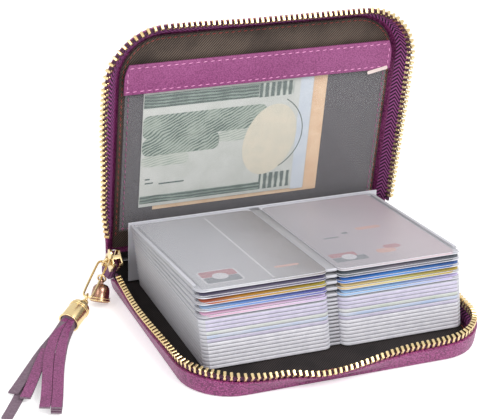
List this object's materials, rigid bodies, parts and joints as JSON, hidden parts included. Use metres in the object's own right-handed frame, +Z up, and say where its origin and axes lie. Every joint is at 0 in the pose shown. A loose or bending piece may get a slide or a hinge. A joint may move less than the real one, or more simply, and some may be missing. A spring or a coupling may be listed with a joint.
{
  "type": "card wallet",
  "caption": "Zip-around card wallet standing open, with clear card pages bound in its lower cover, a note pocket in its upper cover, and a bell charm and a tassel on its zip pull.",
  "frame": {"origin": "middle of the flat underside of the lower cover, on the surface it lies on", "axes": "+Z up, +X along the spine towards the end without the slider, +Y from the free edge of the lower cover towards the spine"},
  "size_m": [0.2135, 0.1397, 0.1274],
  "materials": {
    "purple_leather": "pebbled satin",
    "fringe_leather": "soft matte",
    "brown_twill": "woven",
    "greyboard": "matte",
    "magenta_tape": "woven",
    "pale_gold": "polished",
    "frosted_film": "frosted",
    "clear_film": "clear",
    "card_dark": "printed",
    "card_pink": "printed",
    "card_ochre": "printed",
    "card_blue": "printed",
    "note_green": "paper",
    "note_peach": "paper"
  },
  "bodies": {
    "lower_cover": {"lower_cover_leather": "purple_leather", "lower_stiffener_board": "greyboard", "lower_lining": "brown_twill", "lower_zip_tape": "magenta_tape", "lower_zip_teeth": "pale_gold", "page_binder": "greyboard", "leaf_01": "frosted_film", "leaf_02": "frosted_film", "leaf_03": "frosted_film", "leaf_04": "frosted_film", "leaf_05": "frosted_film", "leaf_06": "frosted_film", "leaf_07": "frosted_film", "leaf_08": "frosted_film", "leaf_09": "frosted_film", "leaf_10": "frosted_film", "leaf_11": "frosted_film", "leaf_12": "frosted_film", "leaf_13": "frosted_film", "leaf_14": "frosted_film", "card_14_left": "card_blue", "card_14_right": "card_ochre", "slider_body": "pale_gold", "zip_tail_left": "magenta_tape", "zip_end_right": "magenta_tape", "zip_stop": "pale_gold"},
    "spine_lower": {"spine_lower_run": "purple_leather"},
    "spine_upper": {"spine_upper_run": "purple_leather"},
    "upper_cover": {"upper_cover_leather": "purple_leather", "upper_stiffener_board": "greyboard", "upper_lining": "brown_twill", "upper_zip_tape": "magenta_tape", "upper_zip_teeth": "pale_gold", "pocket_band": "purple_leather", "pocket_window": "clear_film", "note_front": "note_green", "note_back": "note_peach"},
    "page_15": {"leaf_15": "frosted_film", "card_15_left": "card_ochre", "card_15_right": "card_blue"},
    "page_16": {"leaf_16": "frosted_film", "card_16_left": "card_pink", "card_16_right": "card_dark"},
    "page_17": {"leaf_17": "frosted_film", "card_17_left": "card_blue", "card_17_right": "card_ochre"},
    "page_18": {"leaf_18": "frosted_film"},
    "top_card_left": {"card_18_left": "card_dark"},
    "top_card_right": {"card_18_right": "card_pink"},
    "tab": {"pull_tab": "pale_gold"},
    "ring": {"pull_ring": "pale_gold"},
    "link_of_tassel": {"tassel_link": "pale_gold"},
    "tassel": {"tassel_cap": "pale_gold", "tassel_fringe": "fringe_leather"},
    "link_of_charm": {"charm_link": "pale_gold"},
    "charm": {"charm_bell": "pale_gold"}
  },
  "joints": [
    {"name": "spine_lower_fold", "type": "hinge", "parent": "lower_cover", "child": "spine_lower", "pos_m": [0, 0.05535, 0.00085], "axis": [-1, 0, 0], "range_deg": [-68.5, 6]},
    {"name": "spine_upper_fold", "type": "hinge", "parent": "spine_lower", "child": "spine_upper", "pos_m": [0, 0.07619, 0.00341], "axis": [-1, 0, 0], "range_deg": [-8.4, 96.1]},
    {"name": "cover_turn", "type": "hinge", "parent": "lower_cover", "child": "upper_cover", "pos_m": [0, 0.04486, 0.01961], "axis": [-1, 0, 0], "range_deg": [-76.6, 6.4]},
    {"name": "page_18_turn", "type": "hinge", "parent": "lower_cover", "child": "page_18", "pos_m": [0, 0.0527, 0.03121], "axis": [-1, 0, 0], "range_deg": [0, 72]},
    {"name": "page_17_turn", "type": "hinge", "parent": "lower_cover", "child": "page_17", "pos_m": [0.00021, 0.0527, 0.02962], "axis": [-1, 0, 0], "range_deg": [0, 54]},
    {"name": "page_16_turn", "type": "hinge", "parent": "lower_cover", "child": "page_16", "pos_m": [0.00041, 0.0527, 0.02804], "axis": [-1, 0, 0], "range_deg": [0, 36]},
    {"name": "page_15_turn", "type": "hinge", "parent": "lower_cover", "child": "page_15", "pos_m": [0.00062, 0.0527, 0.02646], "axis": [-1, 0, 0], "range_deg": [0, 18]},
    {"name": "top_card_left_slide", "type": "slide", "parent": "page_18", "child": "top_card_left", "axis": [0, -0.9957, 0.0923], "range_m": [0, 0.08]},
    {"name": "top_card_right_slide", "type": "slide", "parent": "page_18", "child": "top_card_right", "axis": [0, -0.9957, 0.0923], "range_m": [0, 0.08]},
    {"name": "tab_swing", "type": "hinge", "parent": "lower_cover", "child": "tab", "pos_m": [-0.0708, 0.04854, 0.01735], "axis": [0, -0.766, -0.6428], "range_deg": [0, 80]},
    {"name": "ring_swing", "type": "hinge", "parent": "lower_cover", "child": "ring", "pos_m": [-0.0725, 0.05034, 0.0152], "axis": [0, 0.6428, -0.766], "range_deg": [0, 45]},
    {"name": "tassel_link_swing", "type": "hinge", "parent": "ring", "child": "link_of_tassel", "pos_m": [-0.08479, 0.03331, 0.009], "axis": [-0.8108, 0.5854, 0], "range_deg": [0, 30]},
    {"name": "tassel_swing", "type": "hinge", "parent": "link_of_tassel", "child": "tassel", "pos_m": [-0.08673, 0.03062, 0.00803], "axis": [-0.6691, 0.7432, 0], "range_deg": [0, 35]},
    {"name": "charm_link_swing", "type": "hinge", "parent": "ring", "child": "link_of_charm", "pos_m": [-0.07517, 0.04295, 0.01252], "axis": [0.5614, 0.7776, 0.2832], "range_deg": [0, 25]},
    {"name": "charm_swing", "type": "hinge", "parent": "link_of_charm", "child": "charm", "pos_m": [-0.07476, 0.04352, 0.01017], "axis": [-0.8, 0.6, 0], "range_deg": [0, 18]}
  ],
  "couplings": [
    {"joint": "spine_lower_fold", "follows": "cover_turn", "ratio": 0.89},
    {"joint": "spine_upper_fold", "follows": "cover_turn", "ratio": -1.25},
    {"joint": "page_17_turn", "follows": "page_18_turn", "ratio": 0.75},
    {"joint": "page_16_turn", "follows": "page_18_turn", "ratio": 0.5},
    {"joint": "page_15_turn", "follows": "page_18_turn", "ratio": 0.25}
  ]
}
